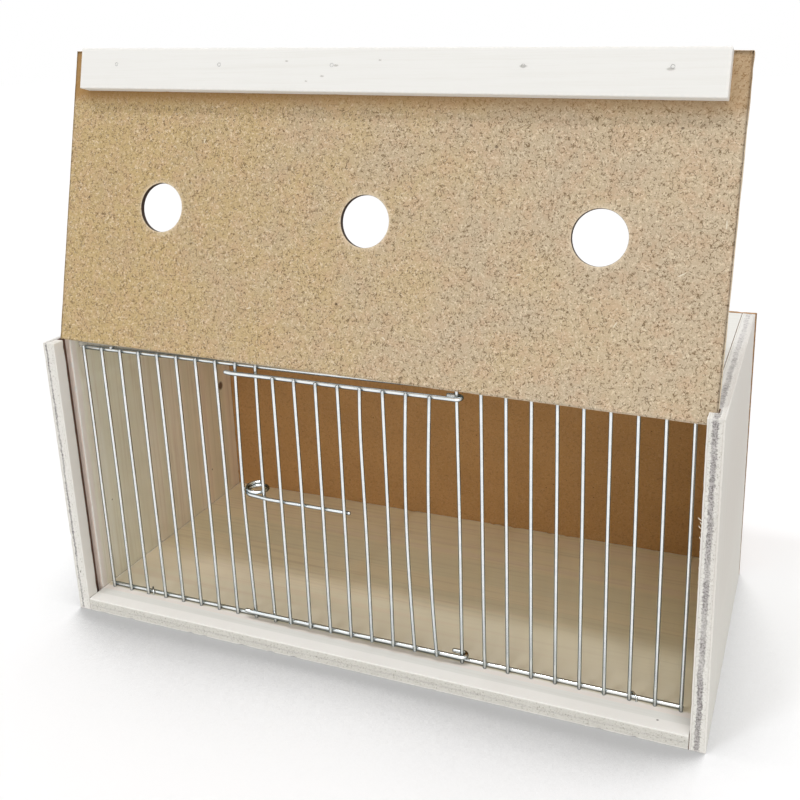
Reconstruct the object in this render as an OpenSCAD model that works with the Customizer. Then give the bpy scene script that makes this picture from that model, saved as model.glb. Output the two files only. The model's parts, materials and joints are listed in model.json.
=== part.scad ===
// Wooden transport cage: a plywood case with a hardboard back, a welded wire front
// with a swinging wire door, and a hardboard cover that runs in two grooves.
// X runs to the right, Y from the front to the back, Z up. The origin is under the
// middle of the case, on the surface that it stands on.

/* [Case] */
// Width over the two sides
case_w = 380; // [300:1:520]
// Height of the sides
case_h = 174; // [140:1:260]
// Depth of the plywood sides, floor edge to back edge
side_d = 173.5; // [120:0.5:300]
// Thickness of the plywood sides, floor and roof
ply_t = 8; // [7:0.5:12]
// Thickness of the hardboard back and cover
board_t = 3; // [2.4:0.1:3.6]

/* [Cover] */
// Lean of the raised cover, in degrees back from upright
cover_lean = 14.2; // [8:0.1:18]
// Skew of the raised cover in its own plane, right end down, in degrees
cover_skew = 1.05; // [0:0.05:1.1]
// How far the closed cover stands above the sides
cover_over = 0.5; // [0:0.5:4]
// Gap between each end of the cover and the bottom of its groove
cover_end_gap = 0.3; // [0.2:0.05:0.5]
// From the front edge of a side to its groove
groove_setback = 7.9; // [7:0.1:8.5]
// How much wider the groove is than the cover is thick
groove_play = 2.3; // [2:0.1:2.4]
// Depth of the groove into the side
groove_depth = 4.2; // [3:0.1:5]
// Diameter of an air hole
air_hole_d = 27; // [15:1:35]
// Distance between neighbouring air holes
air_hole_pitch = 123; // [90:1:140]
// Height of the air holes above the cover's lower edge
air_hole_rise = 80.4; // [60:0.1:90]
// Shift of the row of air holes to the right of the cover's middle
air_hole_shift = 2.3; // [0:0.1:6]
// How far the middle air hole is drilled to the right of its place in the row
middle_hole_slip = 2.1; // [0:0.1:3]

/* [Grip strip] */
// Height of the grip strip on the cover
strip_h = 22.5; // [16:0.5:30]
// Thickness of the grip strip
strip_t = 8; // [5:0.5:10]
// Bare cover left at each end of the grip strip
strip_inset = 9.6; // [6:0.1:20]
// Shift of the grip strip to the right of the cover's middle
strip_shift = 0.9; // [0:0.1:2]

/* [Wire front] */
// Diameter of the upright wires and the latch wire
wire_d = 2; // [1.6:0.1:2.2]
// Diameter of the cross rails
rail_d = 2.4; // [2:0.1:2.6]
// Distance aimed at between neighbouring upright wires, which then fill the width evenly
wire_pitch_aim = 13; // [11.5:0.5:14]
// From the inner face of a side to the middle of the upright wire next to it
wire_end_gap = 6.5; // [3:0.5:9]
// Depth to which two welded wires sink into each other
weld_bite = 0.2; // [0.1:0.05:0.25]
// From the front edge of a side to the middle of the upright wires
wire_setback = 16.8; // [16.5:0.1:20]
// Height of the upright wires' tops under the top of the case
wire_top_drop = 5.2; // [4:0.1:7]
// Height of the top rail under the top of the case
top_rail_drop = 7; // [6:0.1:7.4]
// Height of the bottom rail's underside above the floor
bottom_rail_rise = 0.2; // [0.1:0.1:0.6]

/* [Door] */
// Number of upright wires in the door
door_wire_count = 8; // [4:2:12]
// Running gap between the door's rails and the fixed wires, also in the hinge eyes
door_gap = 0.3; // [0.2:0.05:0.5]
// Height of the door's top rail under the top of the case
door_top_drop = 11; // [10:0.5:20]
// Height of the door's bottom rail above the floor
door_bottom_rise = 5.4; // [5:0.1:12]
// How far the door's rails run past the second fixed wire left of the doorway
door_reach = 6; // [2:0.5:12]
// Length of the straight tail after a hinge eye
eye_tail = 8.5; // [4:0.5:12]

/* [Latch] */
// Height of the latch bar above the floor
latch_rise = 81.5; // [40:0.5:110]
// How much wider the latch coil is than the gap between two wires that it springs through
coil_over = 1.4; // [0.6:0.1:1.8]
// Number of turns of the latch coil
coil_turns = 1.7; // [1.2:0.1:2.5]
// Climb of the latch coil in one turn
coil_pitch = 2.5; // [2.5:0.1:4]
// From the middle of the upright wires back to the middle of the latch coil
coil_setback = 4.2; // [4:0.1:5]
// Length of the latch bar past the last door wire that it is welded to
latch_over = 2; // [1.5:0.5:8]

/* [Fixings] */
// Diameter of the pins that hold the sides, and of the brads in the grip strip
pin_d = 1.2; // [0.8:0.1:1.6]
// Length of the pins through the sides
pin_l = 25; // [18:1:30]
// Diameter of the nails that hold the back
nail_d = 1.6; // [1.2:0.1:2]
// Length of the nails that hold the back
nail_l = 20; // [14:1:25]
// Diameter of the flat nail heads
head_d = 3.4; // [2.6:0.1:4]
// Thickness of the flat nail heads
head_t = 0.6; // [0.4:0.1:1]
// Diameter of the staple wire
staple_d = 1; // [0.8:0.1:1.2]
// Depth of the staples and hook pins in the wood that holds them
hold_depth = 6; // [4:0.5:6.5]

/* [Hidden] */
$fn = 48;
eps = 0.5;
ply_colour = [0.87, 0.83, 0.74];
edge_colour = [0.80, 0.77, 0.69];
board_colour = [0.72, 0.60, 0.42];
back_colour = [0.52, 0.37, 0.22];
strip_colour = [0.94, 0.93, 0.90];
wire_colour = [0.80, 0.83, 0.84];
steel_colour = [0.62, 0.62, 0.60];

case_d = side_d + board_t;
front_y = -case_d / 2;
inner_w = case_w - 2 * ply_t;
floor_top = ply_t;
roof_under = case_h - ply_t;
wire_r = wire_d / 2;
rail_r = rail_d / 2;
pin_r = pin_d / 2;
staple_r = staple_d / 2;

// Upright wires are numbered from 0 at the left. No fixed wire stands in the doorway.
grille_w = inner_w - 2 * wire_end_gap;
wire_count = round(grille_w / wire_pitch_aim) + 1;
wire_pitch = grille_w / (wire_count - 1);
left_count = floor((wire_count - door_wire_count) / 2);
hinge_number = left_count + door_wire_count;
latch_weld_count = 4;
function wire_x(i) = i * wire_pitch - grille_w / 2;
fixed_numbers = [for (i = [0 : wire_count - 1]) if (i < left_count || i >= hinge_number) i];
door_numbers = [for (i = [left_count : hinge_number - 1]) i];

// Wire front, each row of wires set from the one that it is welded to or runs past
fixed_y = front_y + wire_setback;
fixed_rail_y = fixed_y + wire_r + rail_r - weld_bite;
top_rail_z = case_h - top_rail_drop;
bottom_rail_z = floor_top + bottom_rail_rise + rail_r;
wire_top_z = case_h - wire_top_drop;
eye_r = wire_r + rail_r + door_gap;
door_rail_y = fixed_y - eye_r;
door_wire_y = door_rail_y - rail_r - wire_r + weld_bite;
door_top_z = case_h - door_top_drop;
door_bottom_z = floor_top + door_bottom_rise;
door_left_x = wire_x(left_count - 2) - door_reach;
hinge_x = wire_x(hinge_number);

// Roof front edge, just behind the grille's top rail
rail_seat_gap = 0.2;
roof_front = fixed_rail_y + rail_r + rail_seat_gap;

// Cover and its grooves. The raised cover drops in until its low corner wedges.
groove_w = board_t + groove_play;
groove_y = front_y + groove_setback;
cover_w = inner_w + 2 * (groove_depth - cover_end_gap);
cover_h = case_h - floor_top + cover_over;
// The leaning cover touches neither wall of its groove: it stands this far off each.
wedge_gap = 0.25;
slant_t = board_t / 2 * (cos(cover_lean) + 1 / cos(cover_lean));
wedge_depth = (groove_w - 2 * wedge_gap - slant_t) / tan(cover_lean);
skew_drop = cover_w / 2 * sin(cover_skew);
cover_z = case_h - wedge_depth + skew_drop * cos(cover_lean);
cover_y = groove_y + wedge_gap + board_t / 2 * cos(cover_lean) + skew_drop * sin(cover_lean);

// Latch bar: welded behind the first door wires, then led past the last fixed wire
// on the left of the doorway and tangent into the coil between the last two.
latch_z = floor_top + latch_rise;
latch_y = door_wire_y + 2 * wire_r - weld_bite;
latch_right_x = wire_x(left_count + latch_weld_count - 1) + wire_r + latch_over;
coil_r = (wire_pitch - wire_d + coil_over) / 2 - wire_r;
coil_x = (wire_x(left_count - 2) + wire_x(left_count - 1)) / 2;
coil_y = fixed_y + coil_setback;
bend_lead = 1.5;
bend_x = wire_x(left_count - 1) + bend_lead;
bend_to_coil = [coil_x - bend_x, coil_y - latch_y];
tangent_dir = atan2(bend_to_coil[1], bend_to_coil[0]) + asin(coil_r / norm(bend_to_coil));
coil_start = tangent_dir + 90;
coil_steps = 24;
tube_sides = 12;

function coil_point(k) = let (turn = k / coil_steps, a = coil_start - 360 * turn)
    [coil_x + coil_r * cos(a), coil_y + coil_r * sin(a), latch_z + coil_pitch * turn];
coil_points = [for (k = [0 : round(coil_turns * coil_steps)]) coil_point(k)];
latch_path = concat(
    [[latch_right_x, latch_y, latch_z], [bend_x + wire_r, latch_y, latch_z]],
    [[bend_x + wire_r * cos(tangent_dir), latch_y + wire_r * sin(tangent_dir), latch_z]],
    coil_points
);

// Least clear gap between turns of the coil, taken a quarter turn or more apart
coil_gaps = [for (i = [0 : len(coil_points) - 1], j = [i + coil_steps / 4 : len(coil_points) - 1])
    norm(coil_points[i] - coil_points[j]) - wire_d];
echo(least_gap_in_latch_coil = min(coil_gaps));

// Sweep: a ring of points square to the path at each of its points. The path never runs
// along the vector up.
function unit(v) = v / norm(v);
function path_dir(p, i) = unit(p[min(i + 1, len(p) - 1)] - p[max(i - 1, 0)]);
function path_ring(p, i, r, up) =
    let (t = path_dir(p, i), s = unit(cross(t, up)), u = cross(s, t))
    [for (k = [0 : tube_sides - 1]) let (a = 360 * k / tube_sides) p[i] + r * (s * cos(a) + u * sin(a))];

// One closed tube along a path, with flat ends
module tube_along(p, r, up) {
    rings = len(p);
    n = tube_sides;
    points = [for (i = [0 : rings - 1]) each path_ring(p, i, r, up)];
    walls = [for (i = [0 : rings - 2], k = [0 : n - 1]) let (a = i * n + k, b = i * n + (k + 1) % n)
        each [[a, b, a + n], [b, b + n, a + n]]];
    near_end = [for (k = [1 : n - 2]) [0, k + 1, k]];
    last = (rings - 1) * n;
    far_end = [for (k = [1 : n - 2]) [last, last + k, last + k + 1]];
    polyhedron(points = points, faces = concat(walls, near_end, far_end), convexity = 8);
}

// Round bar from a point along X
module bar_x(from, length, r) {
    translate(from) rotate([0, 90, 0]) cylinder(r = r, h = length);
}

// Round bar from a point along Y
module bar_y(from, length, r) {
    translate(from) rotate([-90, 0, 0]) cylinder(r = r, h = length);
}

// Pins through the sides into the ends of the floor and the roof
pin_shares = [0.17, 0.52, 0.87];
pin_rows = [for (share = pin_shares) front_y + share * side_d];
module side_pins() {
    color(steel_colour)
    for (y = pin_rows, z = [ply_t / 2, case_h - ply_t / 2]) {
        bar_x([-case_w / 2, y, z], pin_l, pin_r);
        bar_x([case_w / 2 - pin_l, y, z], pin_l, pin_r);
    }
}

// One flat-headed nail driven in from behind, its head flush with the back
module back_nail(x, z) {
    bar_y([x, case_d / 2 - nail_l, z], nail_l, nail_d / 2);
    bar_y([x, case_d / 2 - head_t, z], head_t, head_d / 2);
}

back_columns = [for (k = [-2 : 2]) k * (case_w / 2 - 2 * ply_t) / 2];
side_nail_shares = [0.35, 0.65];
side_nail_levels = [for (share = side_nail_shares) share * case_h];
module back_nails() {
    color(steel_colour) {
        for (x = back_columns, z = [ply_t / 2, case_h - ply_t / 2]) back_nail(x, z);
        for (side = [-1, 1], z = side_nail_levels) back_nail(side * (case_w - ply_t) / 2, z);
    }
}

// Staples over the bottom rail, each set askew beside the third wire from an end
staple_skew = 40;
staple_seat_gap = 0.1;
staple_half = (rail_r + staple_r + staple_seat_gap) / cos(staple_skew);
staple_top = bottom_rail_z + rail_r + staple_r + staple_seat_gap;
staple_bend = staple_d;
staple_leg = staple_top - staple_bend - floor_top + hold_depth;
staple_wire_gap = 0.7;
staple_offset = wire_r + staple_r + staple_wire_gap;
staple_places = [wire_x(2) + staple_offset, wire_x(wire_count - 3) + staple_offset];
staple_bend_steps = [0 : 15 : 90];
function staple_corner(side, a) =
    [0, side * (staple_half - staple_bend + staple_bend * cos(a)), staple_bend * (sin(a) - 1)];
staple_path = concat(
    [[0, staple_half, -staple_bend - staple_leg]],
    [for (a = staple_bend_steps) staple_corner(1, a)],
    [for (a = staple_bend_steps) staple_corner(-1, 90 - a)],
    [[0, -staple_half, -staple_bend - staple_leg]]
);
module at_staples() {
    for (x = staple_places)
        translate([x, fixed_rail_y, staple_top]) rotate([0, 0, staple_skew]) children();
}
module grille_staples() {
    color(steel_colour) at_staples() tube_along(staple_path, staple_r, [1, 0, 0]);
}
module staple_holes() {
    at_staples() for (side = [-1, 1])
        translate([0, side * staple_half, -staple_bend - staple_leg])
            cylinder(r = staple_r, h = staple_leg);
}

// Hook pins in the roof's front edge, their heads over the grille's top rail
hook_places = [for (i = [1, floor(wire_count / 2) - 1, wire_count - 3]) wire_x(i + 0.5)];
hook_z = top_rail_z + rail_r + pin_r + staple_seat_gap;
module hook_pins() {
    head_back = fixed_rail_y - rail_r - staple_seat_gap;
    color(steel_colour) for (x = hook_places) {
        bar_y([x, head_back, hook_z], roof_front + hold_depth - head_back, pin_r);
        bar_y([x, head_back - head_t, hook_z], head_t, head_d / 2);
    }
}

// Floor between the sides, flush with their front and bottom edges
module floor_panel() {
    color(ply_colour) difference() {
        translate([-inner_w / 2, front_y, 0]) cube([inner_w, side_d, ply_t]);
        side_pins();
        back_nails();
        staple_holes();
    }
}

// Roof between the sides, stopping behind the grille
module roof_panel() {
    color(ply_colour) difference() {
        translate([-inner_w / 2, roof_front, roof_under])
            cube([inner_w, front_y + side_d - roof_front, ply_t]);
        side_pins();
        back_nails();
        hook_pins();
    }
}

// One side with the cover's groove down its inner face
module side_board() {
    difference() {
        translate([-case_w / 2, front_y, 0]) cube([ply_t, side_d, case_h]);
        translate([-case_w / 2 + ply_t - groove_depth, groove_y, -eps])
            cube([groove_depth + eps, groove_w, case_h + 2 * eps]);
    }
}
module left_side() {
    color(edge_colour) difference() {
        side_board();
        side_pins();
        back_nails();
    }
}
module right_side() {
    color(edge_colour) difference() {
        mirror([1, 0, 0]) side_board();
        side_pins();
        back_nails();
    }
}

// Hardboard back, nailed on behind the plywood
module back_panel() {
    color(back_colour) difference() {
        translate([-case_w / 2, front_y + side_d, 0]) cube([case_w, board_t, case_h]);
        back_nails();
    }
}

// Fixed upright wire, standing on the floor
module grille_wire(i) {
    color(wire_colour) translate([wire_x(i), fixed_y, floor_top])
        cylinder(r = wire_r, h = wire_top_z - floor_top);
}

// Cross rail behind the fixed wires, from the first to the last
module grille_rail(z) {
    bar_x([-grille_w / 2 - wire_r, fixed_rail_y, z], grille_w + wire_d, rail_r);
}
module grille_top_rail() {
    color(wire_colour) grille_rail(top_rail_z);
}
module grille_bottom_rail() {
    color(wire_colour) grille_rail(bottom_rail_z);
}

// Door wire, cut off level with the outsides of the door's rails
module door_wire(i) {
    color(wire_colour) translate([wire_x(i), door_wire_y, door_bottom_z - rail_r])
        cylinder(r = wire_r, h = door_top_z - door_bottom_z + rail_d);
}

// Door rail in front of the fixed wires, ending in an eye round the hinge wire
module door_rail(z) {
    bar_x([door_left_x, door_rail_y, z], hinge_x - door_left_x, rail_r);
    translate([hinge_x, fixed_y, z]) rotate([0, 0, -90])
        rotate_extrude(angle = 180) translate([eye_r, 0]) circle(r = rail_r);
    bar_x([hinge_x - eye_tail, fixed_y + eye_r, z], eye_tail, rail_r);
}
module door_top_rail() {
    color(wire_colour) door_rail(door_top_z);
}
module door_bottom_rail() {
    color(wire_colour) door_rail(door_bottom_z);
}

// Latch: one wire, a bar behind the door wires that ends in a springy coil
module door_latch() {
    color(wire_colour) tube_along(latch_path, wire_r, [0, 0, 1]);
}

// Turns a piece drawn upright, with the middle of its lower edge at the origin, to the
// raised cover's lean and skew
module on_raised_cover() {
    translate([0, cover_y, cover_z]) rotate([-cover_lean, 0, 0])
        rotate([0, cover_skew, 0]) children();
}

strip_l = cover_w - 2 * strip_inset;
brad_point_gap = 0.8;
brad_l = strip_t + board_t - brad_point_gap;
brad_shares = [-0.43, -0.24, -0.05, 0.235, 0.43];
brad_z = cover_h - 0.4 * strip_h;

// Brads through the grip strip into the cover, drawn upright
module upright_brads() {
    for (share = brad_shares) {
        at = [strip_shift + share * strip_l, -board_t / 2 - strip_t, brad_z];
        bar_y(at, brad_l, pin_r);
        bar_y(at, head_t, pin_d);
    }
}
module strip_brads() {
    color(steel_colour) on_raised_cover() upright_brads();
}

// Strip of pale wood along the top of the cover, to lift it by
module grip_strip() {
    color(strip_colour) on_raised_cover() difference() {
        translate([strip_shift - strip_l / 2, -board_t / 2 - strip_t, cover_h - strip_h])
            cube([strip_l, strip_t, strip_h]);
        upright_brads();
    }
}

air_hole_places = air_hole_shift * [1, 1, 1] + [-air_hole_pitch, middle_hole_slip, air_hole_pitch];

// Hardboard cover with its three air holes
module front_cover() {
    color(board_colour) on_raised_cover() difference() {
        translate([-cover_w / 2, -board_t / 2, 0]) cube([cover_w, board_t, cover_h]);
        for (x = air_hole_places)
            translate([x, 0, air_hole_rise]) rotate([90, 0, 0])
                cylinder(d = air_hole_d, h = board_t + 2 * eps, center = true);
        upright_brads();
    }
}

function wire_name(k) = str("grille_wire_", k + 1);
function door_wire_name(k) = str("door_wire_", k + 1);

floor_panel();
roof_panel();
left_side();
right_side();
back_panel();
side_pins();
back_nails();
grille_top_rail();
grille_bottom_rail();
grille_staples();
hook_pins();
for (k = [0 : len(fixed_numbers) - 1])
    grille_wire(fixed_numbers[k]);
door_top_rail();
door_bottom_rail();
door_latch();
for (k = [0 : len(door_numbers) - 1])
    door_wire(door_numbers[k]);
front_cover();
grip_strip();
strip_brads();
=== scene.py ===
import json
import math

import bpy
import numpy as np
from mathutils import Matrix, Vector


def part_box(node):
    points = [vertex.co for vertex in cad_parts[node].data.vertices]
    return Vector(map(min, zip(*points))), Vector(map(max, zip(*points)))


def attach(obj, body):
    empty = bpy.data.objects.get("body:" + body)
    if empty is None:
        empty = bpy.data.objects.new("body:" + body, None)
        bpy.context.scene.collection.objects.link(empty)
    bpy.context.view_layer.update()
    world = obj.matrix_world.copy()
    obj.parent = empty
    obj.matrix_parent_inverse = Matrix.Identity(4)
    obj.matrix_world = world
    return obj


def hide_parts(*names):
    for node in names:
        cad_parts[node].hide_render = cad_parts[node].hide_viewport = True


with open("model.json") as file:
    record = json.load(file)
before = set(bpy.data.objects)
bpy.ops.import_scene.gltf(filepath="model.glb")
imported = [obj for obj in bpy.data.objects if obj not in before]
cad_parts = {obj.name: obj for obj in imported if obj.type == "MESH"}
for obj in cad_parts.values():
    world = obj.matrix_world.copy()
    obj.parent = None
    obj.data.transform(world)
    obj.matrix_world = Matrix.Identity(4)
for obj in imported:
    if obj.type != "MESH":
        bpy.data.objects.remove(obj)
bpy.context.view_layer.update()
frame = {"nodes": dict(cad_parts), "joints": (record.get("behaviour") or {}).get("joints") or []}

# Wooden transport cage: plywood case, wire front with a wire door, hardboard cover.
# Metres throughout; X right, Y back, Z up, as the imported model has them.
mm = 0.001
rimFlat = 1.2 * mm  # the flat band beside an eased edge
print("Frame loaded:", len(frame["nodes"]), "nodes")


def boxOf(nodeName):
    low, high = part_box(nodeName)
    return np.array(low), np.array(high)


def middleOf(nodeName):
    low, high = boxOf(nodeName)
    return (low + high) / 2


def facingOut(points, faces):
    # The signed volume is the sum over fans of triangles; a negative one turns every face round
    volume = 0.0
    for face in faces:
        corners = points[np.asarray(face)]
        fans = np.cross(corners[1:-1], corners[2:])
        volume += np.einsum("ij,ij->", fans, corners[:1].repeat(len(face) - 2, 0))
    return faces if volume > 0 else [list(face)[::-1] for face in faces]


def makePiece(name, points, faces, body, material, nodes=(), marks=None):
    # Points and faces go into one mesh; marks are named values from 0 to 1 at the points
    mesh = bpy.data.meshes.new(name)
    mesh.from_pydata(points.tolist(), [], faces)
    mesh.polygons.foreach_set("use_smooth", np.full(len(faces), True))
    for label, values in (marks or {}).items():
        mesh.attributes.new(label, "FLOAT", "POINT").data.foreach_set("value", values.astype(np.float32))
    mesh.materials.append(material)
    mesh.update()
    piece = bpy.data.objects.new(name, mesh)
    bpy.context.scene.collection.objects.link(piece)
    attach(piece, body)
    if nodes:
        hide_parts(*nodes)


def joinParts(parts):
    # Several closed surfaces become one list of points and one list of faces
    points, faces, start = [], [], 0
    for partPoints, partFaces in parts:
        points.append(partPoints)
        faces += [[i + start for i in face] for face in partFaces]
        start += len(partPoints)
    return np.concatenate(points), faces


def ringFaces(rings, around, start=0):
    # Quads between neighbouring rings of points, closed round each ring
    ring, step = np.meshgrid(np.arange(rings - 1), np.arange(around), indexing="ij")
    after = (step + 1) % around
    low, high = ring * around, (ring + 1) * around
    quads = np.stack([low + step, low + after, high + after, high + step], -1).reshape(-1, 4)
    return (quads + start).tolist()


def poleFaces(rings, around):
    # Point 0 closes the first ring and the last point closes the last ring
    step = np.arange(around)
    after = (step + 1) % around
    last = 1 + (rings - 1) * around
    nearFan = np.stack([np.zeros_like(step), 1 + after, 1 + step], -1)
    farFan = np.stack([np.full_like(step, last + around), last + step, last + after], -1)
    return nearFan.tolist() + ringFaces(rings, around, 1) + farFan.tolist()


def carryCircle(path, radius, up, sides=16, step=3 * mm, cap=0.6, swell=None):
    # A circle stands square to the path at each ring. Over the cap length at both ends its
    # radius follows a quarter ellipse down to a pole. swell(s, angle) scales the radius.
    legs = np.linalg.norm(np.diff(path, axis=0), axis=1)
    reach = np.concatenate([[0], np.cumsum(legs)])
    total, capLength = reach[-1], cap * radius
    nearEnd = capLength * (1 - np.cos(np.linspace(0, np.pi / 2, 6)))[1:]
    middle = np.linspace(capLength, total - capLength, max(3, int(total / step)))[1:-1]
    s = np.concatenate([nearEnd, middle, total - nearEnd[::-1]])
    line = np.stack([np.interp(s, reach, path[:, k]) for k in range(3)], 1)
    ahead = np.gradient(line, s, axis=0)
    ahead /= np.linalg.norm(ahead, axis=1, keepdims=True)
    side = np.cross(ahead, np.asarray(up, float))
    side /= np.linalg.norm(side, axis=1, keepdims=True)
    over = np.cross(side, ahead)
    share = np.clip(np.minimum(s, total - s) / capLength, 0, 1)
    size = radius * np.sqrt(1 - (1 - share) ** 2)
    angle = np.linspace(0, 2 * np.pi, sides, endpoint=False)
    reachOut = size[:, None] * (swell(s[:, None], angle[None, :]) if swell else np.ones((1, sides)))
    rings = line[:, None] + reachOut[..., None] * (
        side[:, None] * np.cos(angle)[None, :, None] + over[:, None] * np.sin(angle)[None, :, None])
    points = np.concatenate([path[:1], rings.reshape(-1, 3), path[-1:]])
    along = np.concatenate([[0], np.repeat(s, sides), [total]])
    return points, facingOut(points, poleFaces(len(s), sides)), along


def turnAlong(profile, start, direction, sides=20):
    # A profile of (distance along the axis, radius) is turned round the axis; its first and
    # last radius are 0 and become poles
    direction = np.asarray(direction, float)
    across = np.cross(direction, [0.3, 0.5, 0.8])
    across /= np.linalg.norm(across)
    other = np.cross(direction, across)
    angle = np.linspace(0, 2 * np.pi, sides, endpoint=False)[None, :, None]
    distance, radius = np.asarray(profile, float).T
    spine = np.asarray(start, float) + distance[:, None] * direction
    rings = spine[1:-1, None] + radius[1:-1, None, None] * (across * np.cos(angle) + other * np.sin(angle))
    points = np.concatenate([spine[:1], rings.reshape(-1, 3), spine[-1:]])
    return points, facingOut(points, poleFaces(len(profile) - 2, sides))


def easedOutline(corners, ease, inset=0.0, flat=rimFlat, leastBend=0.02 * mm, arcSteps=4):
    # Square corners, anticlockwise. An outer corner becomes a quarter arc of radius ease, with a
    # point on the flat at each side of it; an inner corner keeps its point. Everything is moved
    # inwards by inset, corner by corner, so the number of points never changes.
    corners = np.asarray(corners, float)
    arrive = corners - np.roll(corners, 1, 0)
    arrive /= np.linalg.norm(arrive, axis=1, keepdims=True)
    leave = np.roll(arrive, -1, 0)
    inArrive = np.stack([-arrive[:, 1], arrive[:, 0]], 1)
    inLeave = np.stack([-leave[:, 1], leave[:, 0]], 1)
    outer = (arrive[:, 0] * leave[:, 1] - arrive[:, 1] * leave[:, 0]) > 0
    points, edge, inward, owner = [], [], [], []
    for i, corner in enumerate(corners):
        diagonal = inArrive[i] + inLeave[i]
        place = corner + inset * diagonal
        bend = max(ease - inset, leastBend) if outer[i] else 0.0
        turn = np.linspace(0, np.pi / 2, arcSteps + 1)[:, None] if outer[i] else np.zeros((1, 1))
        arc = place + bend * (diagonal - inArrive[i] * np.cos(turn) - inLeave[i] * np.sin(turn))
        before, after = place - arrive[i] * (bend + flat), place + leave[i] * (bend + flat)
        points += [before, *(arc if outer[i] else [place]), after]
        edge += [0.0, *[float(outer[i])] * len(arc), 0.0]
        inward += [[0, 0], *[diagonal * float(outer[i])] * len(arc), [0, 0]]
        owner += [i] * (len(arc) + 2)
    return np.array(points), np.array(edge), np.array(inward), np.array(owner)


def roughRun(rng, rings, columns, soft=3):
    # Smooth chance values: white noise averaged over a few neighbours, as one whole array
    wild = rng.standard_normal((rings + 2 * soft, columns))
    kernel = np.hanning(2 * soft + 1)
    kernel /= kernel.sum()
    return np.apply_along_axis(lambda run: np.convolve(run, kernel, "valid"), 0, wild)


def carryBoard(corners, axes, start, stop, ease, seed, chip=0.10 * mm, nick=0.35 * mm, step=2.5 * mm,
               flat=rimFlat, drawnIn=1.0 * mm):
    # An eased outline is carried straight along the third of the axes. Close to both ends it is
    # drawn in along a quarter arc and once more on the end face, and a flat face closes it. Small
    # chips push the outer corners inwards, a little differently at every ring.
    rng = np.random.default_rng(seed)
    turn = np.linspace(0, np.pi / 2, 4)
    endDepth = np.concatenate([[0], ease * (1 - np.cos(turn)), [ease + flat]])
    endInset = np.concatenate([[drawnIn], ease * (1 - np.sin(turn)), [0]])
    middle = np.linspace(start + ease + flat, stop - ease - flat, int((stop - start) / step))[1:-1]
    at = np.concatenate([start + endDepth, middle, stop - endDepth[::-1]])
    inset = np.concatenate([endInset, np.zeros(len(middle)), endInset[::-1]])
    outline, edge, inward, owner = easedOutline(corners, ease, 0.0, flat)
    flatRings = np.stack([easedOutline(corners, ease, i, flat)[0] for i in inset])
    chips = chip * np.abs(roughRun(rng, len(at), len(corners)))
    nicks = nick * np.clip(roughRun(rng, len(at), len(corners), 1) - 1.2, 0, 1)
    flatRings += (chips + nicks)[:, owner, None] * inward[None]
    rings = np.empty((len(at), len(outline), 3))
    rings[..., axes[0]] = flatRings[..., 0]
    rings[..., axes[1]] = flatRings[..., 1]
    rings[..., axes[2]] = at[:, None]
    points = rings.reshape(-1, 3)
    count = len(outline)
    last = (len(at) - 1) * count
    faces = ringFaces(len(at), count) + [list(range(count))[::-1], list(range(last, last + count))]
    endEdge = np.concatenate([[0], np.ones(4), [0]])
    alongEdge = np.concatenate([endEdge, np.zeros(len(middle)), endEdge])
    marks = np.maximum(edge[None], alongEdge[:, None]).ravel()
    return points, facingOut(points, faces), marks


def feed(node, inputs):
    # A socket is linked to the input, and anything else becomes its fixed value
    for label, value in inputs.items():
        if isinstance(value, bpy.types.NodeSocket):
            node.id_data.links.new(value, node.inputs[label])
        else:
            node.inputs[label].default_value = value


def addNode(tree, kind, inputs=(), **settings):
    made = tree.nodes.new(kind)
    for label, value in settings.items():
        setattr(made, label, value)
    feed(made, dict(inputs))
    return made


def follow(kind, inputs, **settings):
    # A node in the same tree as the sockets that it reads
    tree = next(value.id_data for value in inputs.values() if isinstance(value, bpy.types.NodeSocket))
    return addNode(tree, kind, inputs, **settings)


def sums(operation, a, b=0.0):
    return follow("ShaderNodeMath", {0: a, 1: b}, operation=operation).outputs[0]


def plus(a, b):
    return sums("ADD", a, b)


def minus(a, b):
    return sums("SUBTRACT", a, b)


def times(a, b):
    return sums("MULTIPLY", a, b)


def apart(a, b):
    # How far two values lie from each other
    return sums("ABSOLUTE", minus(a, b))


def vectorSums(operation, a, b):
    return follow("ShaderNodeVectorMath", {0: a, 1: b}, operation=operation).outputs[0]


def rise(value, low, high, fromValue=0.0, toValue=1.0):
    # A smooth step from fromValue to toValue while value goes from low to high
    return follow("ShaderNodeMapRange", {0: value, 1: low, 2: high, 3: fromValue, 4: toValue},
                  interpolation_type="SMOOTHSTEP").outputs[0]


def fall(value, low, high):
    # A smooth step down from 1 to 0 while value goes from low to high
    return rise(value, low, high, 1.0, 0.0)


def shareWithin(value, low, high, soft):
    # 1 between low and high, with soft shoulders outside them
    return times(rise(value, low - soft, low), fall(value, high, high + soft))


def noise(vector, scale, detail=2.0, roughness=0.5, output="Fac"):
    # Scale counts cycles per unit of the vector, which is mostly a millimetre
    inputs = {"Vector": vector, "Scale": scale, "Detail": detail, "Roughness": roughness}
    return follow("ShaderNodeTexNoise", inputs).outputs[output]


def blendColours(share, a, b):
    # a where share is 0, b where it is 1
    return follow("ShaderNodeMix", {0: share, 6: a, 7: b}, data_type="RGBA").outputs[2]


def layered(base, layers):
    # Colours laid over the base one after another; each layer is a mask, a strength and a colour
    for mask, strength, tint in layers:
        base = blendColours(times(mask, strength), base, tint)
    return base


def colour(red, green, blue):
    return (red, green, blue, 1.0)


def newGroup(name, inputs):
    # inputs gives each name its value: three numbers for a vector, one for a plain number
    tree = bpy.data.node_groups.new(name, "ShaderNodeTree")
    for label, value in inputs.items():
        kind = "NodeSocketVector" if isinstance(value, tuple) else "NodeSocketFloat"
        tree.interface.new_socket(label, in_out="INPUT", socket_type=kind).default_value = value
    return addNode(tree, "NodeGroupInput").outputs


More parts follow.
